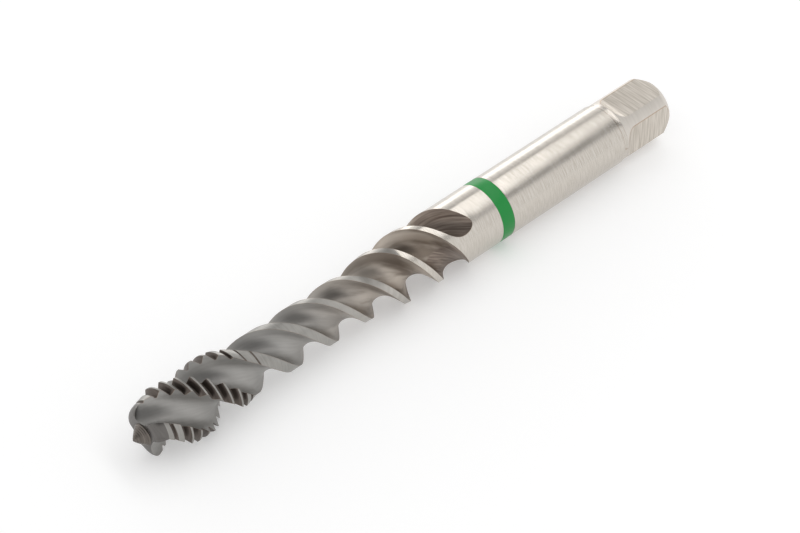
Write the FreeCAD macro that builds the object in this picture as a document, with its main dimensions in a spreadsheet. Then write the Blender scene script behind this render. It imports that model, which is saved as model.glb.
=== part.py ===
import FreeCAD, Part
import math
import os
import Sketcher

# Spiral flute machine tap with a metric coarse thread of 10 mm. All sizes are in millimetres.
# It lies on its side: the axis runs along X, with the point at -X and the square at +X.
# Z = 0 is the surface it lies on, and X = 0 is halfway along it.
# The body and its cutters are drawn with the point of the tap at the origin and the axis on X.

doc = FreeCAD.newDocument("machine_tap")
sheet = doc.addObject("Spreadsheet::Sheet", "Sizes")

sizes = [
    ("overall_length", 103.5, "point of the male centre to the end of the square"),
    ("shank_dia", 10.0, "ground shank"),
    ("thread_dia", 10.0, "major diameter of the thread"),
    ("thread_pitch", 1.5, "coarse pitch"),
    ("thread_depth", 0.92, "crest to root"),
    ("root_flat", 0.19, "flat at the bottom of the thread"),
    ("thread_angle", 60.0, "angle between the flanks"),
    ("thread_start", 1.743, "first turn of the thread groove, under the axis"),
    ("crest_clearance", 0.15, "the thread cutter stands this far out of the crest"),
    ("groove_overrun", 0.1, "the thread groove ends this far behind the thread"),
    ("groove_steps", 36.0, "sections in one turn of the thread groove"),
    ("centre_length", 1.85, "cone of the male centre"),
    ("centre_dia", 3.5, "base of the male centre"),
    ("face_start", 2.0, "front face of the threaded part"),
    ("lead_front_dia", 7.3, "thread lead at the front face"),
    ("lead_length", 3.9, "taper of the thread lead"),
    ("thread_end", 15.6, "end of the full thread"),
    ("neck_start", 19.5, "end of the taper behind the thread"),
    ("neck_dia", 8.0, "relieved neck"),
    ("neck_end", 41.5, "front end of the cone that joins the shank"),
    ("shank_start", 48.5, "back end of that cone"),
    ("ring_start", 66.5, "front edge of the colour ring"),
    ("ring_width", 2.4, "width of the colour ring"),
    ("ring_depth", 0.2, "recess that the lacquer of the colour ring fills"),
    ("ring_crown", 36.0, "radius of the lacquer's domed outside, level with the shank at its middle"),
    ("shank_end", 92.55, "back end of the ground shank"),
    ("shank_edge", 0.15, "length of the bevel behind the ground shank"),
    ("tail_dia", 9.65, "round part that carries the square"),
    ("end_bevel", 0.6, "length of the bevel at the end"),
    ("end_dia", 8.9, "end face"),
    ("square_width", 8.0, "across the flats of the square"),
    ("square_length", 8.0, "full depth of the flats, from the end"),
    ("runout_radius", 2.84, "wheel that ground the flats, seen at their front end"),
    ("flute_count", 3.0, "flutes round the axis"),
    ("core_dia", 3.8, "web left between the flutes"),
    ("flute_lead_tip", 39.5, "length of one turn of a flute at the point"),
    ("flute_lead_shank", 19.9, "length of one turn of a flute behind lead_change"),
    ("lead_change", 37.6, "the turn per length grows evenly from the point to here"),
    ("flute_angle", 63.3, "where the first flute starts at the point, turned from +Y"),
    ("path_radius", 6.7, "the profile is square to the helix of this radius"),
    ("heel_radius", 2.4, "profile on the heel side of the flute floor"),
    ("heel_angle", 64.0, "turn of the profile on the heel side"),
    ("face_radius", 1.83, "profile on the cutting side of the flute floor"),
    ("face_angle", 92.0, "turn of the profile on the cutting side"),
    ("flute_clearance", 0.4, "the flute cutter stands this far out of the crest"),
    ("profile_shift", 0.17, "profile moved towards the cutting side"),
    ("profile_steps", 3.0, "straight strips on each arc of the profile"),
    ("wheel_rise_start", 54.3, "the wheel starts to leave the flute"),
    ("wheel_radius", 8.75, "rise of the flute floor where the wheel leaves"),
    ("wheel_turn", 65.0, "angle of that rise, which ends outside the shank"),
    ("twist_ease", 56.3, "the turn of the flute starts to slow down"),
    ("twist_stop", 62.0, "the flute stops turning"),
    ("section_spacing", 1.0, "distance between the sections of a flute"),
    ("cutter_margin", 3.0, "cutters stand out of the metal by this much"),
]
for row, (alias, value, note) in enumerate(sizes, start=1):
    sheet.set("A%d" % row, alias)
    sheet.set("B%d" % row, str(value))
    sheet.set("C%d" % row, note)
    sheet.setAlias("B%d" % row, alias)
doc.recompute()


def size(alias):
    """One driving dimension, read from the sheet."""
    return float(getattr(sheet, alias))


def number(expression):
    """What an expression of sheet sizes gives now."""
    return float(sheet.evalExpression(expression))


def originPart(body, role):
    """A plane or axis of the body's own origin."""
    return next(item for item in body.Origin.OriginFeatures if item.Role == role)


def bindPoint(sketch, side, end, x, y):
    """Hold one end of a side at the expressions x and y, from the origin. None leaves it free."""
    for kind, axis, expression in (("DistanceX", -2, x), ("DistanceY", -1, y)):
        if expression is None:
            continue
        if expression == "0":
            sketch.addConstraint(Sketcher.Constraint("PointOnObject", side, end, axis))
            continue
        place = Sketcher.Constraint(kind, -1, 1, side, end, number(expression))
        sketch.setExpression("Constraints[%d]" % sketch.addConstraint(place), expression)


def outlineSketch(body, name, corners, arcCentre=None):
    """Closed outline on the XY plane of the body, through corners given as pairs of expressions.
    With arcCentre, the last side is an arc about that point, and the others stay straight. Between
    ends at one height the arc is held by the height of its centre, and otherwise by its place along."""
    sketch = body.newObject("Sketcher::SketchObject", name)
    sketch.AttachmentSupport = [(originPart(body, "XY_Plane"), "")]
    sketch.MapMode = "FlatFace"
    points = [FreeCAD.Vector(number(x), number(y), 0) for x, y in corners]
    last = len(points) - 1
    arcStart, arcEnd = 1, 2
    for side, start in enumerate(points):
        end = points[(side + 1) % len(points)]
        if side == last and arcCentre:
            centre = FreeCAD.Vector(number(arcCentre[0]), number(arcCentre[1]), 0)
            middle = (start + end) * 0.5 - centre
            middle.Length = (start - centre).Length
            if (start - centre).cross(end - centre).z < 0:
                start, end = end, start
                arcStart, arcEnd = 2, 1
            sketch.addGeometry(Part.Arc(start, centre + middle, end), False)
        else:
            sketch.addGeometry(Part.LineSegment(start, end), False)
    for side in range(last - 1):
        sketch.addConstraint(Sketcher.Constraint("Coincident", side, 2, side + 1, 1))
    sketch.addConstraint(Sketcher.Constraint("Coincident", last - 1, 2, last, arcStart))
    sketch.addConstraint(Sketcher.Constraint("Coincident", last, arcEnd, 0, 1))
    for side, (x, y) in enumerate(corners):
        bindPoint(sketch, side, arcStart if side == last else 1, x, y)
    if arcCentre and corners[last][1] == corners[0][1]:
        bindPoint(sketch, last, 3, None, arcCentre[1])
    elif arcCentre:
        bindPoint(sketch, last, 3, arcCentre[0], None)
    return sketch


def bodyFeature(body, kind, name, sketch, **settings):
    """A feature of the body made from a sketch; the last one made is the body's tip."""
    feature = body.newObject(kind, name)
    feature.Profile = sketch
    for setting, chosen in settings.items():
        setattr(feature, setting, chosen)
    sketch.Visibility = False
    body.Tip = feature
    doc.recompute()
    return feature


def turnedBlank():
    """The tap before threading and fluting, turned about its axis, with the square ground at its end."""
    body = doc.addObject("PartDesign::Body", "ground_blank")
    profile = outlineSketch(body, "turned_profile", [
        ("0", "0"),
        ("Sizes.centre_length", "Sizes.centre_dia / 2"),
        ("Sizes.face_start", "Sizes.centre_dia / 2"),
        ("Sizes.face_start", "Sizes.lead_front_dia / 2"),
        ("Sizes.face_start + Sizes.lead_length", "Sizes.thread_dia / 2"),
        ("Sizes.thread_end", "Sizes.thread_dia / 2"),
        ("Sizes.neck_start", "Sizes.neck_dia / 2"),
        ("Sizes.neck_end", "Sizes.neck_dia / 2"),
        ("Sizes.shank_start", "Sizes.shank_dia / 2"),
        ("Sizes.shank_end", "Sizes.shank_dia / 2"),
        ("Sizes.shank_end + Sizes.shank_edge", "Sizes.tail_dia / 2"),
        ("Sizes.overall_length - Sizes.end_bevel", "Sizes.tail_dia / 2"),
        ("Sizes.overall_length", "Sizes.end_dia / 2"),
        ("Sizes.overall_length", "0"),
    ])
    axis = (originPart(body, "X_Axis"), [""])
    turned = bodyFeature(body, "PartDesign::Revolution", "turned", profile, ReferenceAxis=axis, Angle=360)
    recess = outlineSketch(body, "ring_recess_profile", [
        ("Sizes.ring_start", "Sizes.shank_dia / 2 - Sizes.ring_depth"),
        ("Sizes.ring_start + Sizes.ring_width", "Sizes.shank_dia / 2 - Sizes.ring_depth"),
        ("Sizes.ring_start + Sizes.ring_width", "Sizes.shank_dia / 2 + Sizes.cutter_margin"),
        ("Sizes.ring_start", "Sizes.shank_dia / 2 + Sizes.cutter_margin"),
    ])
    grooved = bodyFeature(body, "PartDesign::Groove", "ring_recess", recess, ReferenceAxis=axis, Angle=360)
    arcCentre = ("Sizes.overall_length - Sizes.square_length", "Sizes.square_width / 2 + Sizes.runout_radius")
    flat = outlineSketch(body, "square_flat_profile", [
        ("Sizes.overall_length - Sizes.square_length", "Sizes.square_width / 2"),
        ("Sizes.overall_length + Sizes.cutter_margin", "Sizes.square_width / 2"),
        ("Sizes.overall_length + Sizes.cutter_margin", "Sizes.square_width / 2 + Sizes.runout_radius"),
        ("Sizes.overall_length - Sizes.square_length - Sizes.runout_radius",
         "Sizes.square_width / 2 + Sizes.runout_radius"),
    ], arcCentre)
    ground = bodyFeature(body, "PartDesign::Pocket", "square_flat", flat,
                         Type="ThroughAll", SideType="Symmetric")
    square = body.newObject("PartDesign::PolarPattern", "square")
    square.Originals = [ground]
    square.Axis = axis
    square.Angle = 360
    square.Occurrences = 4
    body.Tip = square
    doc.recompute()
    volumes = [feature.Shape.Volume for feature in (turned, grooved, ground, square)]
    print("blank after each feature, mm3:", " ".join("%.1f" % volume for volume in volumes))
    for before, after in zip(volumes, volumes[1:]):
        if after >= before:
            raise RuntimeError("a cut of the blank took nothing away")
    return body


def colourRing():
    """Lacquer that fills the recess of the shank, slightly domed outside."""
    body = doc.addObject("PartDesign::Body", "ring_body")
    body.Label = "colour_ring"
    inside = "Sizes.shank_dia / 2 - Sizes.ring_depth"
    domeCentre = "Sizes.shank_dia / 2 - Sizes.ring_crown"
    edge = domeCentre + " + sqrt(Sizes.ring_crown ^ 2 - (Sizes.ring_width / 2) ^ 2)"
    profile = outlineSketch(body, "lacquer_profile", [
        ("Sizes.ring_start + Sizes.ring_width", edge),
        ("Sizes.ring_start + Sizes.ring_width", inside),
        ("Sizes.ring_start", inside),
        ("Sizes.ring_start", edge),
    ], ("Sizes.ring_start + Sizes.ring_width / 2", domeCentre))
    axis = (originPart(body, "X_Axis"), [""])
    bodyFeature(body, "PartDesign::Revolution", "lacquer", profile, ReferenceAxis=axis, Angle=360)
    return body


def turnPerLength(x):
    """Degrees that a flute turns per millimetre at x: more and more to lead_change, then even,
    then easing to nothing where the wheel leaves the flute."""
    tip = 360 / size("flute_lead_tip")
    shank = 360 / size("flute_lead_shank")
    if x > size("twist_ease"):
        eased = min(1, (x - size("twist_ease")) / (size("twist_stop") - size("twist_ease")))
        return shank * (1 - eased ** 2)
    return tip + (shank - tip) * min(1, x / size("lead_change"))


def fluteTurn(x):
    """Degrees that a flute has turned from the point to x: turnPerLength added up to x."""
    tip = 360 / size("flute_lead_tip")
    shank = 360 / size("flute_lead_shank")
    change = size("lead_change")
    ease = size("twist_ease")
    easing = size("twist_stop") - ease
    front = min(x, change)
    turn = tip * front + (shank - tip) * front ** 2 / (2 * change)
    turn += shank * max(0, min(x, ease) - change)
    eased = min(1, max(0, x - ease) / easing)
    return turn + shank * easing * (eased - eased ** 3 / 3)


def fluteProfile():
    """Points across a flute, from the heel to the cutting face: sideways and up from its floor.
    Two arcs meet on the floor, and each runs out in a straight side."""
    heelRadius, faceRadius = size("heel_radius"), size("face_radius")
    heelTurn, faceTurn = math.radians(size("heel_angle")), math.radians(size("face_angle"))
    steps = int(size("profile_steps"))
    points = []
    for step in range(steps, -1, -1):
        turn = heelTurn * step / steps
        points.append((-heelRadius * math.sin(turn), heelRadius * (1 - math.cos(turn))))
    for step in range(1, steps + 1):
        turn = faceTurn * step / steps
        points.append((faceRadius * math.sin(turn), faceRadius * (1 - math.cos(turn))))
    top = (size("thread_dia") - size("core_dia")) / 2 + size("flute_clearance")
    heelTop = (points[0][0] - (top - points[0][1]) / math.tan(heelTurn), top)
    faceTop = (points[-1][0] + (top - points[-1][1]) / math.tan(faceTurn), top)
    shift = size("profile_shift")
    return [(sideways + shift, up) for sideways, up in [heelTop] + points + [faceTop]]


def fluteStations():
    """Places of the sections along a flute, with the rise of its floor: evenly to wheel_rise_start,
    then by equal angles on the arc of the wheel."""
    spacing = size("section_spacing")
    riseStart = size("wheel_rise_start")
    wheel = size("wheel_radius")
    even = int(round((riseStart + size("cutter_margin")) / spacing))
    stations = []
    for index in range(even + 1):
        stations.append((riseStart - (even - index) * spacing, 0))
    wheelTurn = math.radians(size("wheel_turn"))
    steps = int(math.ceil(wheel * wheelTurn / spacing))
    for index in range(1, steps + 1):
        turn = wheelTurn * index / steps
        stations.append((riseStart + wheel * math.sin(turn), wheel * (1 - math.cos(turn))))
    return stations


def fluteSection(x, rise, profile):
    """Closed section of a flute at x, in the plane square to the helix of path_radius."""
    turn = math.radians(size("flute_angle") + fluteTurn(x))
    tilt = math.atan(size("path_radius") * math.radians(turnPerLength(min(x, size("twist_ease")))))
    outward = FreeCAD.Vector(0, math.cos(turn), math.sin(turn))
    sideways = FreeCAD.Vector(0, -math.sin(turn), math.cos(turn))
    across = sideways * math.cos(tilt) - FreeCAD.Vector(math.sin(tilt), 0, 0)
    floor = FreeCAD.Vector(x, 0, 0) + outward * (size("core_dia") / 2 + rise)
    corners = [floor + outward * up + across * over for over, up in profile]
    return Part.makePolygon(corners + corners[:1])


def ruledSolid(sections):
    """Solid through closed sections with straight sides, joined straight from each to the next."""
    solid = True
    ruled = True
    closed = False
    return Part.makeLoft(sections, solid, ruled, closed)


def fluteCutter():
    """One flute as the wheel cuts it, through its sections."""
    profile = fluteProfile()
    return ruledSolid([fluteSection(x, rise, profile) for x, rise in fluteStations()])


def threadGroove():
    """The V between two turns of the thread, through sections in planes that hold the axis.
    It starts under the axis, in front of the lead, and ends behind the thread, both in the air."""
    pitch = size("thread_pitch")
    crest = size("thread_dia") / 2
    root = crest - size("thread_depth")
    top = crest + size("crest_clearance")
    slope = math.tan(math.radians(size("thread_angle") / 2))
    rootHalf = size("root_flat") / 2
    topHalf = rootHalf + (top - root) * slope
    perTurn = int(size("groove_steps"))
    length = size("neck_start") + size("groove_overrun") - size("thread_start")
    sections = []
    for step in range(int(length / pitch * perTurn) + 1):
        x = size("thread_start") + pitch * step / perTurn
        turn = 2 * math.pi * step / perTurn - math.pi / 2
        outward = FreeCAD.Vector(0, math.cos(turn), math.sin(turn))
        corners = []
        for along, radius in ((-topHalf, top), (-rootHalf, root), (rootHalf, root), (topHalf, top)):
            corners.append(outward * radius + FreeCAD.Vector(x + along, 0, 0))
        sections.append(Part.makePolygon(corners + corners[:1]))
    return ruledSolid(sections)


def madeShape(name, shape):
    """A cutter in the document, with the shape made for it."""
    feature = doc.addObject("Part::Feature", name)
    feature.Shape = shape
    return feature


def cutFrom(base, tool, name):
    """What is left of the base when the tool is taken out of it."""
    cut = doc.addObject("Part::Cut", name)
    cut.Base = base
    cut.Tool = tool
    return cut


def placeOnSurface(piece):
    """Move a piece from the drawing place to where the tap lies, halfway along at X = 0."""
    piece.setExpression("Placement.Base.x", "-Sizes.overall_length / 2")
    piece.setExpression("Placement.Base.z", "max(Sizes.shank_dia; Sizes.thread_dia) / 2")


cutter = fluteCutter()
count = int(size("flute_count"))
cutters = []
for index in range(count):
    flute = madeShape("flute_%d" % (index + 1), cutter)
    flute.Placement = FreeCAD.Placement(FreeCAD.Vector(), FreeCAD.Rotation(FreeCAD.Vector(1, 0, 0),
                                                                           360 * index / count))
    cutters.append(flute)
flutes = doc.addObject("Part::Compound", "flutes")
flutes.Links = cutters
fluted = cutFrom(turnedBlank(), flutes, "fluted_blank")
tap = cutFrom(fluted, madeShape("thread_groove", threadGroove()), "threaded_blank")
tap.Label = "tap"
placeOnSurface(tap)

ring = colourRing()
placeOnSurface(ring)

doc.recompute()
for item in doc.Objects:
    for state in item.State:
        if state in ("Invalid", "Error"):
            raise RuntimeError("%s is %s: %s" % (item.Name, state, item.getStatusString()))

os.makedirs("parts", exist_ok=True)
for piece in (tap, ring):
    shape = piece.Shape
    if shape.isNull() or not shape.isValid():
        raise RuntimeError("%s has no valid shape" % piece.Label)
    shape.exportStep("parts/%s.step" % piece.Label)
    box = shape.BoundBox
    print("%s: %d solid, %d faces, %.2f mm3" % (piece.Label, len(shape.Solids), len(shape.Faces),
                                                 shape.Volume))
    print("  from %.3f %.3f %.3f to %.3f %.3f %.3f" % (box.XMin, box.YMin, box.ZMin,
                                                     box.XMax, box.YMax, box.ZMax))
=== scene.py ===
import math
import bmesh
import bpy
import numpy as np
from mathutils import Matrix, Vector


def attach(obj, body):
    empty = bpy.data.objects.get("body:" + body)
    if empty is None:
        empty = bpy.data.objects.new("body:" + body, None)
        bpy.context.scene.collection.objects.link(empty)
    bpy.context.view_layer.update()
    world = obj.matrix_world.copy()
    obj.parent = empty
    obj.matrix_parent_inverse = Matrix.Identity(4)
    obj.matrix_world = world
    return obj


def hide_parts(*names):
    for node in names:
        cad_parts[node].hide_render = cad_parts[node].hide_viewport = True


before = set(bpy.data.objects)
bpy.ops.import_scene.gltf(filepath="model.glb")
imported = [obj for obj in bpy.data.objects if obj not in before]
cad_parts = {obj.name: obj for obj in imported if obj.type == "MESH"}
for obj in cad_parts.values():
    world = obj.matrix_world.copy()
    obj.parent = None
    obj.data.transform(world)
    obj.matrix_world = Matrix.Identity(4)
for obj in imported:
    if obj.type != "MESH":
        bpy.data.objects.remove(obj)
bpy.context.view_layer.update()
print("frame loaded")

# All sizes are in millimetres from the point of the tap, with x along its axis.
# Angles run about the axis, from +Y towards +Z, in degrees unless a note says otherwise.
turned = dict(
    length=103.5, axisHeight=5.0,
    leadBreak=(5.1, 4.55), leadEnd=5.8, threadEnd=15.6,  # the lead rises more steeply behind its break
    neckStart=19.5, neckEnd=41.5, neckRadius=4.0,
    shankStart=48.5, shankRadius=5.0, shankEnd=92.55, shankEdge=0.15,  # the thread is as wide as the shank
)
centre = dict(length=1.76, radius=1.75, bulge=0.85, rings=24,
              ridges=7.5, ridgeHeight=0.032, ridgeStart=0.1, ridgeEnd=0.98)
nose = dict(
    start=1.8, end=3.38, endRadius=4.2, rings=20,
    # places and radii on the way from the male centre to the lead
    corners=((1.82, 2.45), (1.88, 2.9), (2.0, 3.25), (2.2, 3.58), (2.5, 3.86), (2.9, 4.08)),
)


def toFrame(x, radius, turn):
    # Point at x, at a distance from the axis and an angle about it in radians, in metres of the frame.
    y = radius * np.cos(turn)
    z = radius * np.sin(turn) + turned["axisHeight"]
    return np.stack(np.broadcast_arrays(x - turned["length"] / 2, y, z), -1) / 1000


def blankOutline():
    # Places and radii of the corners of the turned blank, from the male centre to the end of the shank.
    full, neck = turned["shankRadius"], turned["neckRadius"]
    return np.array([
        (nose["start"], centre["radius"]), *nose["corners"], (nose["end"], nose["endRadius"]),
        turned["leadBreak"], (turned["leadEnd"], full), (turned["threadEnd"], full),
        (turned["neckStart"], neck), (turned["neckEnd"], neck),
        (turned["shankStart"], full), (turned["shankEnd"], full),
    ]).T


def blankRadius(x):
    # radius of the turned blank at x: straight lines between the corners of its outline
    return np.interp(x, *blankOutline())


# The flutes. A wheel profile of two arcs and two straight sides is carried along a helix
# whose turn per millimetre grows towards the shank. Its plane is square to the path.
flute = dict(
    count=3, coreRadius=1.9, angle=63.3, pathRadius=6.7,
    leadTip=39.5, leadShank=19.9, leadChange=37.6,  # length of one turn, which shortens up to leadChange
    heelRadius=2.4, heelAngle=64.0, faceRadius=1.83, faceAngle=92.0, shift=0.17,
    heelWider=0.8, heelWiderEnd=13.0,  # share by which the heel side is wider at the point
    faceWider=((2.0, 0.0), (10.0, 0.2), (18.0, 0.3), (34.0, 0.14), (48.0, 0.12), (56.0, 0.0)),
    riseStart=54.3, wheelRadius=8.75, wheelTurn=75.0, twistEase=56.3, twistStop=62.0,  # run-out
    columns=40, floorSearch=6.0, floorPoints=401, edgeSearch=6.5,  # searched this far along the profile
)


def fluteRate(x):
    # degrees turned per millimetre: grows evenly to leadChange, then even, then eased to a stop
    tip, shank = 360 / flute["leadTip"], 360 / flute["leadShank"]
    eased = np.clip((x - flute["twistEase"]) / (flute["twistStop"] - flute["twistEase"]), 0, 1)
    return (tip + (shank - tip) * np.clip(x / flute["leadChange"], 0, 1)) * (1 - eased ** 2)


def fluteTurn(x):
    # degrees turned from the point to x: fluteRate added up
    tip, shank = 360 / flute["leadTip"], 360 / flute["leadShank"]
    change, ease = flute["leadChange"], flute["twistEase"]
    easing = flute["twistStop"] - ease
    front = np.minimum(x, change)
    eased = np.clip((x - ease) / easing, 0, 1)
    turn = tip * front + (shank - tip) * np.maximum(front, 0) ** 2 / (2 * change)
    turn = turn + shank * np.clip(x - change, 0, ease - change)
    return turn + shank * easing * (eased - eased ** 3 / 3)


def floorRise(x):
    # The floor leaves its level on the arc of the wheel, wheel - sqrt(wheel^2 - along^2), and goes on
    # straight past wheelTurn.
    wheel, steepest = flute["wheelRadius"], math.radians(flute["wheelTurn"])
    along = np.maximum(x - flute["riseStart"], 0)
    arc = np.minimum(along, wheel * math.sin(steepest))
    return wheel - np.sqrt(wheel ** 2 - arc ** 2) + (along - arc) * math.tan(steepest)


def pathTilt(x):
    # angle between the helix and the axis: tangent = path radius * turn per length
    return np.arctan(flute["pathRadius"] * np.radians(fluteRate(np.minimum(x, flute["twistEase"]))))


def wheelProfile(s):
    # Sideways and upward place at s, the distance along the profile from the floor, negative on the
    # heel side: an arc, radius * sin(angle) and radius * (1 - cos(angle)), and then a straight side.
    heel = s < 0
    radius = np.where(heel, flute["heelRadius"], flute["faceRadius"])
    most = np.radians(np.where(heel, flute["heelAngle"], flute["faceAngle"]))
    angle = np.minimum(np.abs(s) / radius, most)
    straight = np.maximum(np.abs(s) - radius * most, 0)
    over = radius * np.sin(angle) + straight * np.cos(most)
    up = radius * (1 - np.cos(angle)) + straight * np.sin(most)
    return np.where(heel, -over, over) + flute["shift"], up


def fluteSurface(x, s):
    # Radius, angle and station of the flute surface where the profile's point s passes x. The station
    # solves x = station - over * sin(tilt), found by repeated substitution. The point lies core radius
    # + floor's rise + up away from the axis, and over * cos(tilt), widened on each side, beside it.
    over, up = wheelProfile(s)
    station = x + 0 * over
    for _ in range(10):
        station = x + over * np.sin(pathTilt(station))
    radial = flute["coreRadius"] + floorRise(station) + up
    side = over * np.cos(pathTilt(station))
    heelWider = flute["heelWider"] * np.clip(1 - station / flute["heelWiderEnd"], 0, 1) ** 2
    faceWider = np.interp(station, *np.array(flute["faceWider"]).T)
    side = side * (1 + np.where(side < 0, heelWider, faceWider))
    turn = np.radians(flute["angle"] + fluteTurn(station)) + np.arctan2(side, radial)
    return np.hypot(radial, side), turn, station


def fluteFloor(x):
    # Distance along the profile where the flute comes nearest to the axis at x, and that radius:
    # the lowest of many points, bettered by the parabola through it and its neighbours.
    s = np.linspace(-flute["floorSearch"], flute["floorSearch"], flute["floorPoints"])
    radius = fluteSurface(x[..., None], s)[0]
    lowest = np.clip(np.argmin(radius, -1), 1, len(s) - 2)
    pick = lambda shift: np.take_along_axis(radius, (lowest + shift)[..., None], -1)[..., 0]
    before, at, after = pick(-1), pick(0), pick(1)
    best = s[lowest] + (s[1] - s[0]) * (before - after) / (2 * (before - 2 * at + after))
    return best, fluteSurface(x, best)[0]


def fluteEdge(x, radius, side):
    # Distance along the profile where the flute reaches the radius at x, by halving the interval.
    near = fluteFloor(x)[0]
    far = near + side * flute["edgeSearch"]
    for _ in range(36):
        middle = (near + far) / 2
        outside = fluteSurface(x, middle)[0] > radius
        far = np.where(outside, middle, far)
        near = np.where(outside, near, middle)
    return (near + far) / 2


def fluteExit():
    # Place where the rising floor comes out of the shank.
    low, high = flute["riseStart"], flute["riseStart"] + flute["wheelRadius"]
    for _ in range(40):
        middle = (low + high) / 2
        out = fluteFloor(np.array([middle]))[1][0] > turned["shankRadius"]
        low, high = (low, middle) if out else (middle, high)
    return low


# The lands. Their rows follow the thread, so that each corner of a tooth lies on a row.
thread = dict(
    pitch=1.5, depth=0.92, rootFlat=0.19, flankSlope=math.tan(math.radians(30)), start=1.743,
    firstGroove=3.3, grooves=11, crestBevel=0.018, rootRound=0.03, leastFlank=0.06, leastCrest=0.04,
)
land = dict(
    heelRelief=0.35, reliefEnd=8.5, reliefCurve=1.5,
    columns=24, frontRows=5, noseRows=10, backRows=7, threadedEnd=20.0,
    plainStart=22.5, plainEnd=57.0, plainStep=0.4, exitRows=44,
)
# Each row of a groove lies at sign * (root * half the root's flat + edge * distance of its edge
# + middle * half the pitch + bevel) from the groove's middle.
toothRows = np.array([
    # sign, root, edge, middle, bevel
    (-1, 0, 0, 1, 0),
    (-1, 0, 1, 0, thread["crestBevel"]),
    (-1, 0, 1, 0, -thread["crestBevel"]),
    (-1, 0.5, 0.5, 0, 0),
    (-1, 1, 0, 0, thread["rootRound"]),
    (-1, 1, 0, 0, -thread["rootRound"]),
    (1, 1, 0, 0, -thread["rootRound"]),
    (1, 1, 0, 0, thread["rootRound"]),
    (1, 0.5, 0.5, 0, 0),
    (1, 0, 1, 0, -thread["crestBevel"]),
    (1, 0, 1, 0, thread["crestBevel"]),
])
flankRows = range(2, 9)  # rows of a groove whose next strip is cut by the thread


def heelDrop(x):
    # how far the heel of a land lies under its cutting edge: falls evenly to none at reliefEnd
    span = land["reliefEnd"] - nose["end"]
    return land["heelRelief"] * np.clip((land["reliefEnd"] - x) / span, 0, 1)


def toothRadius(gap, x):
    # V groove with a flat root, root + distance from the flat / slope, cut off at the blank
    root = turned["shankRadius"] - thread["depth"]
    flank = root + np.maximum(gap - thread["rootFlat"] / 2, 0) / thread["flankSlope"]
    return np.minimum(flank, blankRadius(x))


def grooveGap(x, turn):
    # distance along the axis from x to the middle of the nearest groove, at a turn in degrees
    pitches = (x - thread["start"]) / thread["pitch"] - (turn + 90) / 360
    return np.abs((pitches + 0.5) % 1 - 0.5) * thread["pitch"]


def landCentre(x, number):
    # angle at x of the middle of a land, half way between two flutes
    half = 180 / flute["count"]
    return flute["angle"] + fluteTurn(x) + (2 * number - 1) * half


def firstGroove(number):
    # Number of the first groove on a land whose middle lies behind firstGroove.
    x = thread["firstGroove"]
    return math.ceil((x - thread["start"]) / thread["pitch"] - (landCentre(x, number) + 90) / 360)


def landRows(number, turn, plainRows):
    # x and radius of every row of a land, at the angles given for each row and column in degrees.
    # A groove's middle lies at start + pitch * (number + (turn + 90) / 360), and its edge is where the
    # flank reaches the blank, found by repeated substitution.
    sign, atRoot, atEdge, atMiddle, bevel = np.tile(toothRows, (thread["grooves"], 1)).T[..., None]
    groove = firstGroove(number) + np.repeat(np.arange(thread["grooves"]), len(toothRows))[:, None]
    front, back = land["frontRows"], land["backRows"]
    angles = turn[front:front + len(groove)]
    middle = thread["start"] + thread["pitch"] * (groove + (angles + 90) / 360)
    rootHalf, pitchHalf = thread["rootFlat"] / 2, thread["pitch"] / 2
    root = turned["shankRadius"] - thread["depth"]
    edge = np.full_like(middle, pitchHalf / 2)
    for _ in range(12):
        depth = blankRadius(middle + sign * edge) - root
        edge = np.clip(rootHalf + depth * thread["flankSlope"],
                       rootHalf + thread["leastFlank"], pitchHalf - thread["leastCrest"])
    gap = atRoot * rootHalf + atEdge * edge + atMiddle * pitchHalf + bevel
    x = np.maximum(middle + sign * gap, nose["end"])
    radius = toothRadius(np.abs(x - middle), x)
    share = np.arange(front)[:, None] / front
    frontX = nose["end"] + (rowAt(number, 0, turn[:front]) - nose["end"]) * share
    frontRadius = toothRadius(grooveGap(frontX, turn[:front]), frontX)
    share = (np.arange(back)[:, None] + 1) / (back + 1)
    last = rowAt(number, -1, turn[front + len(groove):front + len(groove) + back])
    backX = last + (plainRows[0] - last) * share
    plainX = np.broadcast_to(plainRows[:, None], (len(plainRows), turn.shape[1]))
    allX = np.concatenate([frontX, x, backX, plainX])
    allRadius = np.concatenate([frontRadius, radius, blankRadius(backX), blankRadius(plainX)])
    return allX, allRadius


def rowAt(number, which, turn):
    # x of the first or last tooth row, carried on at other angles. The last groove lies in the neck,
    # where its flanks have run out.
    groove = firstGroove(number) + (thread["grooves"] - 1 if which < 0 else 0)
    middle = thread["start"] + thread["pitch"] * (groove + (turn + 90) / 360)
    sign, _, atEdge, atMiddle, bevel = toothRows[which]
    gap = atEdge * (thread["rootFlat"] / 2 + thread["leastFlank"]) + atMiddle * thread["pitch"] / 2 + bevel
    return np.maximum(middle + sign * gap, nose["end"])


def plainRowPlaces(exitPlace):
    # Flat rows behind the thread: even steps, then closer and closer to where the flute ends.
    even = np.arange(land["plainStart"], land["plainEnd"], land["plainStep"])
    share = np.linspace(1, 0, land["exitRows"] + 1)
    return np.concatenate([even, exitPlace - (exitPlace - land["plainEnd"]) * share ** 2])


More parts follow.
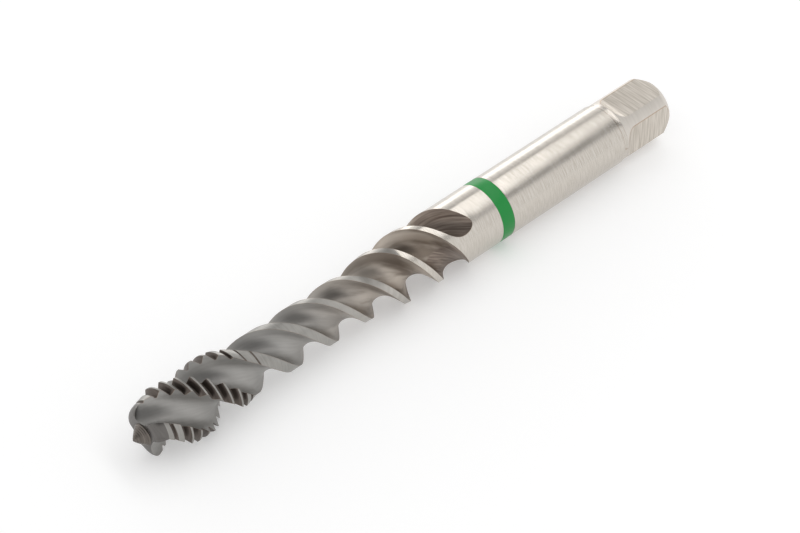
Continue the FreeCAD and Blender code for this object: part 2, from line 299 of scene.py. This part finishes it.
def landEdges(number, side, plainRows):
    # Edge of a land against the flute on one side: x, profile distance and angle of each row.
    # Row and flute meet where both have the same radius, found by repeated substitution.
    flutes = number if side < 0 else number - 1
    rows = land["frontRows"] + thread["grooves"] * len(toothRows) + land["backRows"] + len(plainRows)
    grooveX = thread["firstGroove"] + thread["pitch"] * np.arange(rows) / len(toothRows)
    turn = landCentre(np.minimum(grooveX, land["threadedEnd"]), number)
    turn[-len(plainRows):] = landCentre(plainRows, number)
    for _ in range(7):
        x, radius = (value[:, 0] for value in landRows(number, turn[:, None], plainRows))
        radius = radius - heelDrop(x) * (side < 0)
        s = fluteEdge(x, radius, side)
        s[-1] = fluteFloor(x[-1:])[0][0]
        turn = np.degrees(fluteSurface(x, s)[1]) + 360 / flute["count"] * flutes
    return x, s, turn


# Mesh work. A patch is a grid of points, and its faces are the squares between them.
class MeshParts:
    def __init__(self):
        self.points, self.faces, self.uvs, self.zones, self.gaps = [], [], [], [], []
        self.count = 0

    def add(self, points, uv, zone, gap):
        # A grid of rows by columns, with its surface map, the material slot of each strip of faces and
        # its distance from a stained edge.
        rows, columns = points.shape[:2]
        index = np.arange(rows * columns).reshape(rows, columns) + self.count
        quads = np.stack([index[:-1, :-1], index[:-1, 1:], index[1:, 1:], index[1:, :-1]], -1)
        self.points.append(points.reshape(-1, 3))
        self.faces.append(quads.reshape(-1, 4))
        self.uvs.append(np.broadcast_to(uv, (rows, columns, 2)).reshape(-1, 2))
        self.gaps.append(np.broadcast_to(gap, (rows, columns)).reshape(-1))
        self.zones.append(np.broadcast_to(np.reshape(zone, (-1, 1)), (rows - 1, columns - 1)).reshape(-1))
        self.count += rows * columns

    def build(self, name, materials, sharpAngle, body="root"):
        points, faces = np.concatenate(self.points), np.concatenate(self.faces)
        mesh = bpy.data.meshes.new(name)
        mesh.from_pydata(points, [], faces)
        uvLayer = mesh.uv_layers.new(name="surface")
        uvs = np.concatenate(self.uvs)[faces.reshape(-1)]
        uvLayer.data.foreach_set("uv", uvs.astype(np.float32).reshape(-1))
        gapLayer = mesh.attributes.new("edgeGap", "FLOAT", "POINT")
        gapLayer.data.foreach_set("value", np.concatenate(self.gaps).astype(np.float32))
        for material in materials:
            mesh.materials.append(material)
        mesh.polygons.foreach_set("material_index", np.concatenate(self.zones).astype(np.int32))
        closeSeams(mesh)
        mesh.set_sharp_from_angle(angle=math.radians(sharpAngle))
        piece = bpy.data.objects.new(name, mesh)
        bpy.context.scene.collection.objects.link(piece)
        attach(piece, body)
        return piece


def closeSeams(mesh, mergeWithin=2e-7, flatUnder=1e-8):
    # Merge points that coincide, drop faces of no area, and leave every face smooth. Metres.
    work = bmesh.new()
    work.from_mesh(mesh)
    bmesh.ops.remove_doubles(work, verts=work.verts, dist=mergeWithin)
    bmesh.ops.dissolve_degenerate(work, edges=work.edges, dist=flatUnder)
    for face in work.faces:
        face.smooth = True
    openEdges = sum(1 for edge in work.edges if not edge.is_manifold)
    print("  %s: %d faces, %d open edges" % (mesh.name, len(work.faces), openEdges))
    work.to_mesh(mesh)
    work.free()


# material slots of the tap, in the order of steelLooks
shankZone, landZone, fluteZone, flankZone, centreZone, noseZone, flatZone, endZone, cornerZone = range(9)
farFromEdges = 0.5  # edgeGap, in millimetres, where no edge is stained


def columnsBetween(first, last, count):
    # Evenly spaced values from first to last along a new last axis.
    return first[..., None] + (last - first)[..., None] * np.linspace(0, 1, count + 1)


def noseEdge(s, radius):
    # x where the flute comes out of the nose, for each point s of its profile, by halving the interval.
    # Beside the corners of the lands the nose drops by as much as these lie under the blank.
    low, high = np.full_like(s, nose["start"]), np.full_like(s, nose["end"])
    short, share = nose["endRadius"] - radius, np.linspace(1, 0, len(s))
    drop = short[0] * share ** 2 + short[-1] * (1 - share) ** 2
    for _ in range(40):
        middle = (low + high) / 2
        outside = fluteSurface(middle, s)[0] > blankRadius(middle) - drop
        low, high = np.where(outside, middle, low), np.where(outside, high, middle)
    return (low + high) / 2


def addLand(parts, number, cutEdge, heelEdge, plainRows):
    # One land between its cutting edge and its heel. Returns its front row.
    turn = columnsBetween(cutEdge[2], heelEdge[2], land["columns"])
    x, radius = landRows(number, turn, plainRows)
    share = np.linspace(0, 1, land["columns"] + 1)
    radius = radius - heelDrop(x) * share ** land["reliefCurve"]
    turn = np.radians(turn)
    width = (turn[:, -1:] - turn[:, :1]) * radius
    gap = width * np.minimum(share, 1 - share)
    zone = np.full(len(x) - 1, landZone)
    for groove in range(thread["grooves"]):
        for row in flankRows:
            zone[land["frontRows"] + groove * len(toothRows) + row] = flankZone
    zone[x[1:, 0] > turned["shankStart"]] = shankZone
    parts.add(toFrame(x, radius, turn), np.stack([turn * radius, x], -1), zone, gap)
    return np.stack([x[0], radius[0], turn[0]], -1)[:-1]


def addFlute(parts, number, heelEdge, nextEdge):
    # One flute from the heel of its land to the next cutting edge, and its mouth in the nose.
    # Returns the front row of the mouth.
    around = math.tau / flute["count"] * number
    x = columnsBetween(heelEdge[0], nextEdge[0], flute["columns"])
    s = columnsBetween(heelEdge[1], nextEdge[1], flute["columns"])
    radius, turn, station = fluteSurface(x, s)
    gap = np.minimum(s - s[:, :1], s[:, -1:] - s)
    parts.add(toFrame(x, radius, turn + around), np.stack([s, station], -1), fluteZone, gap)

    share = np.linspace(1, 0, land["noseRows"] + 1)[:, None]
    mouthX = noseEdge(s[0], radius[0])
    x = x[0] + (mouthX - x[0]) * share
    s = np.broadcast_to(s[0], x.shape)
    radius, turn, station = fluteSurface(x, s)
    parts.add(toFrame(x, radius, turn + around), np.stack([s, station], -1), fluteZone, gap[0])
    return np.stack([mouthX, radius[0], turn[0] + around], -1)[:-1]


def addFluted(parts):
    # Lands and flutes from the nose to the end of the flutes. Returns the outline of the nose, where
    # the flutes end, and the angle where the first of them ends.
    exitPlace = fluteExit()
    plainRows = plainRowPlaces(exitPlace)
    edges = {(number, side): landEdges(number, side, plainRows)
             for number in range(flute["count"]) for side in (-1, 1)}
    outline = []
    for number in range(flute["count"]):
        cutEdge, heelEdge = edges[number, 1], edges[number, -1]
        outline.append(addLand(parts, number, cutEdge, heelEdge, plainRows))
        outline.append(addFlute(parts, number, heelEdge, edges[(number + 1) % flute["count"], 1]))
    endTurn = edges[0, -1][2][-1]
    return np.concatenate(outline), exitPlace, endTurn


# Nose in front of the lands, and the male centre on it, as rings of points about the axis
def addFront(parts, outline):
    # The rings of the nose follow the blank's outline and drift to the edges of the lands and flutes.
    # The centre's radius is radius * share^bulge + ridgeHeight * sin(2 pi * ridges * share).
    outerX, radius, outerTurn = np.concatenate([outline, outline[:1] + [[0, 0, math.tau]]]).T
    turn = outerTurn[0] + np.linspace(0, math.tau, len(outerTurn))
    share = np.linspace(0, 1, nose["rings"] + 1)[:, None]
    noseRadius = centre["radius"] + (radius - centre["radius"]) * share
    noseTurn = turn + (outerTurn - turn) * share
    places, radii = blankOutline()
    onNose = places <= nose["end"]
    noseX = np.interp(noseRadius, radii[onNose], places[onNose])
    noseX = noseX + (outerX - noseX[-1]) * share ** 3
    uv = np.stack([noseTurn * noseRadius, noseRadius], -1)
    parts.add(toFrame(noseX, noseRadius, noseTurn), uv, noseZone, farFromEdges)

    along = np.linspace(0, 1, centre["rings"] + 1)[:, None]
    ridged = (along > centre["ridgeStart"]) * (along < centre["ridgeEnd"])
    ridges = centre["ridgeHeight"] * np.sin(along * math.tau * centre["ridges"]) * ridged
    coneRadius = np.maximum(centre["radius"] * along ** centre["bulge"] + ridges, 0)
    ringX = np.concatenate([centre["length"] * along, [[nose["start"]]]]) + 0 * turn
    ringRadius = np.concatenate([coneRadius, [[centre["radius"]]]]) + 0 * turn
    uv = np.stack([ringRadius * turn, ringX], -1)
    parts.add(toFrame(ringX, ringRadius, turn), uv, centreZone, farFromEdges)


# Shank with the recess of its ring, and the square behind it.
shankStep = 1.0  # least distance between rows along the shank
band = dict(
    start=66.5, width=2.4, depth=0.2, crown=36.0, edge=0.04, edgeTurn=15,
    columns=144, rows=8, edgeRows=5,
)
square = dict(
    tailRadius=4.825, flat=4.0, flatStart=95.5, runoutRadius=2.84, bevelStart=102.35, endRadius=3.95,
    flatColumns=16, runoutRows=24, flatRows=30, bevelRows=14, endRings=8,
)


def addShank(parts, exitPlace, endTurn):
    # Round shank from the end of the flutes to the run-out of the square.
    # Its columns turn slightly on the way, from the end of a flute to the middle of a flat.
    columns = land["columns"] * flute["count"]
    step = 360 / columns
    start, end = band["start"], band["start"] + band["width"]
    full, tail = turned["shankRadius"], square["tailRadius"]
    recess = full - band["depth"]
    edgeStart, edgeEnd = turned["shankEnd"], turned["shankEnd"] + turned["shankEdge"]
    corners = [(exitPlace, full), (start, full), (start, recess), (end, recess),
               (end, full), (edgeStart, full), (edgeEnd, tail), (runoutStart(), tail)]
    x, radius = [], []
    for (x0, r0), (x1, r1) in zip(corners, corners[1:]):
        pieces = max(1, int((x1 - x0) / shankStep))
        x.extend(x0 + (x1 - x0) * np.arange(pieces) / pieces)
        radius.extend(r0 + (r1 - r0) * np.arange(pieces) / pieces)
    x = np.array(x + [corners[-1][0]])[:, None]
    radius = np.array(radius + [tail])[:, None]
    offset = endTurn - step * round(endTurn / step)
    drift = 1 - np.clip((x - exitPlace) / (x[-1] - exitPlace), 0, 1)
    turn = np.radians(step * (np.arange(columns + 1) + round(endTurn / step)) + offset * drift)
    uv = np.stack([turn * radius, x + 0 * turn], -1)
    gap = np.maximum(np.maximum(edgeStart - x, x - edgeEnd), 0)
    parts.add(toFrame(x + 0 * turn, radius + 0 * turn, turn), uv, shankZone, gap)


def runoutStart():
    # where the wheel that ground a flat comes out of the round tail
    lift = square["tailRadius"] - square["flat"]
    wheel = square["runoutRadius"]
    return square["flatStart"] - math.sqrt(wheel ** 2 - (wheel - lift) ** 2)


def addSquare(parts):
    # Round tail with four flats ground on it, and the end face. Each flat runs out on the arc of the
    # wheel, height = flat + wheel - sqrt(wheel^2 - back^2). The corners between the flats stay round,
    # and the cone at the end cuts the flats in arcs.
    start = runoutStart()
    share = np.linspace(0, 1, square["runoutRows"] + 1)
    x = np.concatenate([start + (square["flatStart"] - start) * share ** 2,
                        np.linspace(square["flatStart"], square["bevelStart"], square["flatRows"])[1:],
                        np.linspace(square["bevelStart"], turned["length"], square["bevelRows"] + 1)[1:]])
    radius = np.interp(x, [square["bevelStart"], turned["length"]],
                       [square["tailRadius"], square["endRadius"]])
    wheel = square["runoutRadius"]
    back = np.maximum(square["flatStart"] - x, 0)
    height = square["flat"] + wheel - np.sqrt(wheel ** 2 - back ** 2)
    half = np.degrees(np.arccos(np.clip(height / radius, -1, 1)))
    half[0] = 0
    cornerColumns = land["columns"] * flute["count"] // 4
    outline = []
    for quarter in range(4):
        middle = 90 * quarter
        chord = np.tan(np.radians(half))[:, None] * np.linspace(-1, 1, square["flatColumns"] + 1)
        turn = np.radians(middle) + np.arctan(chord)
        reach = np.minimum(height[:, None] * np.hypot(1, chord), radius[:, None])
        over = chord * height[:, None]
        gap = over - over[:, :1]  # only one side of each flat is stained
        uv = np.stack([over, x[:, None] + 0 * over], -1)
        parts.add(toFrame(x[:, None], reach, turn), uv, flatZone, gap)
        outline.append(np.stack([reach[-1], turn[-1]], -1)[:-1])
        turn = np.radians(columnsBetween(middle + half, middle + 90 - half, cornerColumns))
        reach = radius[:, None] + 0 * turn
        uv = np.stack([turn * reach, x[:, None] + 0 * turn], -1)
        gap = reach * (turn[:, -1:] - turn)
        parts.add(toFrame(x[:, None], reach, turn), uv, cornerZone, gap)
        outline.append(np.stack([reach[-1], turn[-1]], -1)[:-1])
    outline = np.concatenate(outline)
    radius, turn = np.concatenate([outline, outline[:1] + [[0, math.tau]]]).T
    rings = np.linspace(1, 0, square["endRings"] + 1)[:, None]
    uv = np.stack([radius * np.cos(turn) * rings, radius * np.sin(turn) * rings], -1)
    parts.add(toFrame(turned["length"], radius * rings, turn), uv, endZone, farFromEdges)


# Lacquer band that fills the recess of the shank, slightly domed outside, level with the shank
# at its middle: radius = middle - crown + sqrt(crown^2 - distance from the middle^2)
def ringParts():
    start, end = band["start"], band["start"] + band["width"]
    inner, crown = turned["shankRadius"] - band["depth"], band["crown"]
    rounding = np.radians(np.linspace(band["edgeTurn"], 90, band["edgeRows"]))  # turn of the rounded edges
    bend, drop = band["edge"] * (1 - np.cos(rounding)), band["edge"] * (1 - np.sin(rounding))
    inside = np.linspace(start + bend[-1], end - bend[-1], band["rows"])[1:-1]
    x = np.concatenate([start + bend, inside, end - bend[::-1]])
    radius = turned["shankRadius"] - crown + np.sqrt(crown ** 2 - (x - (start + end) / 2) ** 2)
    radius -= np.concatenate([drop, 0 * inside, drop[::-1]])
    x = np.concatenate([[start], x, [end, start]])[:, None]
    radius = np.concatenate([[inner], radius, [inner, inner]])[:, None]
    turn = np.linspace(0, math.tau, band["columns"] + 1)
    parts = MeshParts()
    uv = np.stack([turn * turned["shankRadius"] + 0 * x, x + 0 * turn], -1)
    parts.add(toFrame(x + 0 * turn, radius + 0 * turn, turn), uv, 0, farFromEdges)
    return parts


# Materials. The surface map is in millimetres: round the tap first, or across a flute or a flat, then
# along it. The grain of each steel gives the noise's cycles per millimetre in those two directions.
def addNode(tree, kind, inputs, **settings):
    made = tree.nodes.new(kind)
    for name, value in settings.items():
        setattr(made, name, value)
    for name, value in inputs.items():
        if isinstance(value, bpy.types.NodeSocket):
            tree.links.new(value, made.inputs[name])
        else:
            made.inputs[name].default_value = value
    return made


def newMaterial(name):
    material = bpy.data.materials.new(name)
    material.use_nodes = True
    material.node_tree.nodes.clear()
    return material, material.node_tree


def noiseOn(tree, vector, scale, detail):
    placed = addNode(tree, "ShaderNodeMapping", {"Vector": vector, "Scale": scale})
    noise = addNode(tree, "ShaderNodeTexNoise", {
        "Vector": placed.outputs[0], "Scale": 1.0, "Detail": detail})
    return noise.outputs["Fac"]


def between(tree, value, low, high, toLow=0.0, toHigh=1.0):
    # value from low to high becomes toLow to toHigh along a smooth step, and stays there outside
    return addNode(tree, "ShaderNodeMapRange", {
        "Value": value, "From Min": low, "From Max": high, "To Min": toLow, "To Max": toHigh,
    }, interpolation_type="SMOOTHSTEP").outputs[0]


def mixColour(tree, share, first, second):
    mixed = tree.nodes.new("ShaderNodeMix")
    mixed.data_type = "RGBA"
    for socket, value in ((mixed.inputs[0], share), (mixed.inputs[6], first), (mixed.inputs[7], second)):
        if isinstance(value, bpy.types.NodeSocket):
            tree.links.new(value, socket)
        else:
            socket.default_value = value if isinstance(value, float) else (*value, 1.0)
    return mixed.outputs[2]


stain = dict(width=0.08, colour=(0.34, 0.25, 0.18), strength=0.5)  # thin line along an edge
flatStain = dict(width=0.13, colour=(0.40, 0.25, 0.15), strength=0.8)
# bronze on the flutes near the shank, and painted light on the lands, which grow lighter grey towards
# the shank, by the distance from the middle of the tap in metres, and scored steel from the station
# where the floor of a flute rises
bronzeAndLightRamp = dict(start=-0.028, full=0.0, scoredFrom=54.2, scoredFull=54.7)
# noise of every steel: scale and detail of each, and the values between which it fades
grainNoise = dict(
    streakDetail=4.0, speckle=((2.6, 2.6, 1.0), 2.0), cloud=((0.12, 0.16, 1.0), 2.0),
    smudge=((0.42, 0.16, 1.0), 3.0), fade=(0.3, 0.7), smudgeFade=(0.38, 0.62),
)
steelLooks = {
    "shank": dict(
        colour=(0.625, 0.585, 0.535), dark=(0.54, 0.50, 0.445), roughness=0.2, spread=0.05,
        grain=(0.5, 5.5), bump=0.9e-6, stain=stain),
    "land": dict(
        colour=(0.35, 0.34, 0.32), dark=(0.30, 0.29, 0.272), roughness=0.33, spread=0.08,
        grain=(0.3, 4.0), bump=0.6e-6, stain=stain,
        # towards the shank the land is painted lighter grey, as painted light; its scored colours are the
        # same
        bronzeAndLightColour=(0.52, 0.495, 0.46), bronzeAndLightDark=(0.46, 0.435, 0.40),
        scoredAndLightColour=(0.52, 0.495, 0.46), scoredAndLightDark=(0.46, 0.435, 0.40)),
    "flute": dict(
        colour=(0.40, 0.39, 0.375), dark=(0.365, 0.355, 0.34), roughness=0.45, spread=0.06,
        grain=(3.0, 0.3), bump=0.2e-6, stain=stain,
        bronzeAndLightColour=(0.52, 0.46, 0.40), bronzeAndLightDark=(0.23, 0.19, 0.155),
        scoredAndLightColour=(0.36, 0.30, 0.255), scoredAndLightDark=(0.19, 0.15, 0.125)),
    "flank": dict(
        colour=(0.14, 0.118, 0.105), dark=(0.095, 0.08, 0.07), roughness=0.34, spread=0.08,
        grain=(0.5, 4.0), bump=0.6e-6, stain=stain),
    "centre": dict(
        colour=(0.19, 0.168, 0.15), dark=(0.10, 0.088, 0.078), roughness=0.3, spread=0.1,
        grain=(0.2, 5.0), bump=1e-6, stain=stain),
    "nose": dict(
        colour=(0.165, 0.156, 0.148), dark=(0.14, 0.132, 0.125), roughness=0.32, spread=0.06,
        grain=(0.2, 3.0), bump=0.5e-6, stain=stain),
    "flat": dict(
        colour=(0.71, 0.66, 0.60), dark=(0.50, 0.455, 0.395), roughness=0.42, spread=0.08,
        grain=(0.22, 4.5), bump=1.5e-6, stain=flatStain),
    "end": dict(
        colour=(0.50, 0.47, 0.43), dark=(0.40, 0.37, 0.335), roughness=0.34, spread=0.1,
        grain=(2.0, 2.0), bump=1.5e-6, stain=stain),
    "corner": dict(
        colour=(0.68, 0.64, 0.59), dark=(0.63, 0.59, 0.54), roughness=0.44, spread=0.06,
        grain=(0.3, 2.0), bump=0.5e-6, stain=flatStain),
}


def addBronzeAndLight(tree, surface, share, steel, look):
    # bronze over the steel of the flutes towards the shank: smudged along them, and scored where they run
    # out. On the lands the same colours are plain lighter grey: painted light, lighter towards the shank
    place = addNode(tree, "ShaderNodeTexCoord", {}).outputs["Object"]
    along = addNode(tree, "ShaderNodeSeparateXYZ", {"Vector": place}).outputs[0]
    station = addNode(tree, "ShaderNodeSeparateXYZ", {"Vector": surface}).outputs[1]
    smudge = noiseOn(tree, surface, *grainNoise["smudge"])
    smudge = between(tree, smudge, *grainNoise["smudgeFade"])
    smudged = mixColour(tree, smudge, look["bronzeAndLightDark"], look["bronzeAndLightColour"])
    scoredAndLit = mixColour(tree, share, look["scoredAndLightDark"], look["scoredAndLightColour"])
    scoring = between(tree, station, bronzeAndLightRamp["scoredFrom"], bronzeAndLightRamp["scoredFull"])
    tinted = mixColour(tree, scoring, smudged, scoredAndLit)
    return mixColour(tree, between(tree, along, bronzeAndLightRamp["start"], bronzeAndLightRamp["full"]), steel, tinted)


def makeSteel(name, look):
    # Ground steel: streaks between two colours along the grain, cloudy roughness, a fine bump from
    # the streaks and a speckle, and a stain along the edges that edgeGap gives.
    material, tree = newMaterial("steel" + name.capitalize())
    surface = addNode(tree, "ShaderNodeUVMap", {}, uv_map="surface").outputs[0]
    streak = noiseOn(tree, surface, (*look["grain"], 1.0), grainNoise["streakDetail"])
    speckle = noiseOn(tree, surface, *grainNoise["speckle"])
    cloud = noiseOn(tree, surface, *grainNoise["cloud"])
    share = between(tree, streak, *grainNoise["fade"])
    colour = mixColour(tree, share, look["dark"], look["colour"])
    # bronze on the flutes; on the lands painted light, lighter towards the shank
    if "bronzeAndLightColour" in look:
        colour = addBronzeAndLight(tree, surface, share, colour, look)
    edgeGap = addNode(tree, "ShaderNodeAttribute", {}, attribute_name="edgeGap").outputs["Fac"]
    stained = between(tree, edgeGap, 0.0, look["stain"]["width"], look["stain"]["strength"], 0.0)
    colour = mixColour(tree, stained, colour, look["stain"]["colour"])
    roughest = look["roughness"] + look["spread"]
    roughness = between(tree, cloud, *grainNoise["fade"], look["roughness"], roughest)
    height = addNode(tree, "ShaderNodeMath", {0: streak, 1: speckle}, operation="ADD").outputs[0]
    bump = addNode(tree, "ShaderNodeBump", {"Height": height, "Distance": look["bump"], "Strength": 1.0})
    shader = addNode(tree, "ShaderNodeBsdfPrincipled", {
        "Base Color": colour, "Metallic": 1.0, "Roughness": roughness, "Normal": bump.outputs[0]})
    addNode(tree, "ShaderNodeOutputMaterial", {"Surface": shader.outputs[0]})
    return material


lacquer = dict(colour=(0.012, 0.27, 0.05), roughness=0.38, gloss=0.25, coat=0.12, coatRoughness=0.12)


def makeLacquer():
    material, tree = newMaterial("greenLacquer")
    shader = addNode(tree, "ShaderNodeBsdfPrincipled", {
        "Base Color": (*lacquer["colour"], 1.0), "Roughness": lacquer["roughness"],
        "Specular IOR Level": lacquer["gloss"], "Coat Weight": lacquer["coat"],
        "Coat Roughness": lacquer["coatRoughness"]})
    addNode(tree, "ShaderNodeOutputMaterial", {"Surface": shader.outputs[0]})
    return material


parts = MeshParts()
outline, exitPlace, endTurn = addFluted(parts)
addFront(parts, outline)
addShank(parts, exitPlace, endTurn)
addSquare(parts)
print("surfaces worked out, flutes end at x = %.2f mm" % exitPlace)

steels = [makeSteel(name, look) for name, look in steelLooks.items()]
tap = parts.build("tapBody", steels, sharpAngle=27)
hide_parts("tap")
ring = ringParts().build("colourRing", [makeLacquer()], sharpAngle=40)
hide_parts("colour_ring")
print("meshes built")

# Studio, in metres. Softboxes stand round the axis of the tap at a turn from +Y, as a round shank
# shows them: long bright bands. The world is white up to a height over the horizon and grey above.
studio = dict(
    floorColour=0.8, floorLift=0.27, floorSize=4.0,
    ambient=0.785, sky=0.21, skyStart=0.50, skyFull=0.72,
    softboxes={  # along is the part of a softbox's direction that points along the tap
        "overhead": dict(turn=95.0, along=0.50, distance=0.9, length=1.3, width=0.21, radiance=1.75),
        "back": dict(turn=8.0, along=0.50, distance=1.1, length=1.8, width=0.50, radiance=1.3),
    },
)
view = dict(place=(-0.21658, -0.22596, 0.29777), azimuth=-43.598, elevation=43.192, lens=132.93,
            shift=(-0.0004, 0.0013), sensor=36.0, clipStart=0.01)


def seenDirectly(tree):
    # 1 for rays from the camera and in reflections, 0 for the light that falls on things
    path = addNode(tree, "ShaderNodeLightPath", {})
    seen = path.outputs["Is Camera Ray"]
    for other in ("Is Glossy Ray", "Is Transmission Ray"):
        either = addNode(tree, "ShaderNodeMath", {0: seen, 1: path.outputs[other]}, operation="MAXIMUM")
        seen = either.outputs[0]
    return seen


def addWorld():
    world = bpy.data.worlds.new("studio")
    world.use_nodes = True
    tree = world.node_tree
    tree.nodes.clear()
    direction = addNode(tree, "ShaderNodeTexCoord", {}).outputs["Generated"]
    height = addNode(tree, "ShaderNodeSeparateXYZ", {"Vector": direction}).outputs[2]
    grey = (studio["sky"],) * 3
    above = between(tree, height, studio["skyStart"], studio["skyFull"])
    backdrop = mixColour(tree, above, (1.0, 1.0, 1.0), grey)
    seen = addNode(tree, "ShaderNodeBackground", {"Color": backdrop, "Strength": 1.0}).outputs[0]
    light = addNode(tree, "ShaderNodeBackground", {
        "Color": (1, 1, 1, 1), "Strength": studio["ambient"]}).outputs[0]
    both = addNode(tree, "ShaderNodeMixShader", {0: seenDirectly(tree), 1: light, 2: seen}).outputs[0]
    addNode(tree, "ShaderNodeOutputWorld", {"Surface": both})
    bpy.context.scene.world = world


def addFloor():
    # matt floor that catches the shadow, lifted to white for rays that see it
    half = studio["floorSize"] / 2
    corners = [(-half, -half, 0), (half, -half, 0), (half, half, 0), (-half, half, 0)]
    mesh = bpy.data.meshes.new("floor")
    mesh.from_pydata(corners, [], [(0, 1, 2, 3)])
    floor = bpy.data.objects.new("floor", mesh)
    bpy.context.scene.collection.objects.link(floor)
    material, tree = newMaterial("paleFloor")
    grey = (*[studio["floorColour"]] * 3, 1.0)
    matt = addNode(tree, "ShaderNodeBsdfDiffuse", {"Color": grey}).outputs[0]
    lift = addNode(tree, "ShaderNodeMath", {0: seenDirectly(tree), 1: studio["floorLift"]},
                   operation="MULTIPLY").outputs[0]
    glow = addNode(tree, "ShaderNodeEmission", {"Color": (1, 1, 1, 1), "Strength": lift}).outputs[0]
    both = addNode(tree, "ShaderNodeAddShader", {0: matt, 1: glow}).outputs[0]
    addNode(tree, "ShaderNodeOutputMaterial", {"Surface": both})
    mesh.materials.append(material)


def addSoftbox(name, box):
    # the power that gives the wanted radiance is pi * area * radiance
    lamp = bpy.data.lights.new(name, "AREA")
    lamp.shape = "RECTANGLE"
    lamp.size, lamp.size_y = box["length"], box["width"]
    lamp.energy = math.pi * box["length"] * box["width"] * box["radiance"]
    softbox = bpy.data.objects.new(name, lamp)
    turn, around = math.radians(box["turn"]), math.sqrt(1 - box["along"] ** 2)
    way = Vector((box["along"], around * math.cos(turn), around * math.sin(turn)))
    softbox.location = way * box["distance"]
    softbox.rotation_euler = way.to_track_quat("Z", "Y").to_euler()
    bpy.context.scene.collection.objects.link(softbox)


def addCamera():
    camera = bpy.data.objects.new("camera", bpy.data.cameras.new("camera"))
    camera.data.lens = view["lens"]
    camera.data.sensor_width = view["sensor"]
    camera.data.shift_x, camera.data.shift_y = view["shift"]
    camera.data.clip_start = view["clipStart"]
    camera.location = view["place"]
    azimuth, elevation = math.radians(view["azimuth"]), math.radians(view["elevation"])
    level = math.cos(elevation)
    back = Vector((math.sin(azimuth) * level, -math.cos(azimuth) * level, math.sin(elevation)))
    camera.rotation_euler = back.to_track_quat("Z", "Y").to_euler()
    bpy.context.scene.collection.objects.link(camera)
    bpy.context.scene.camera = camera


addWorld()
addFloor()
for name, box in studio["softboxes"].items():
    addSoftbox(name, box)
addCamera()
bpy.context.scene.view_settings.view_transform = "Standard"
print("studio set up")
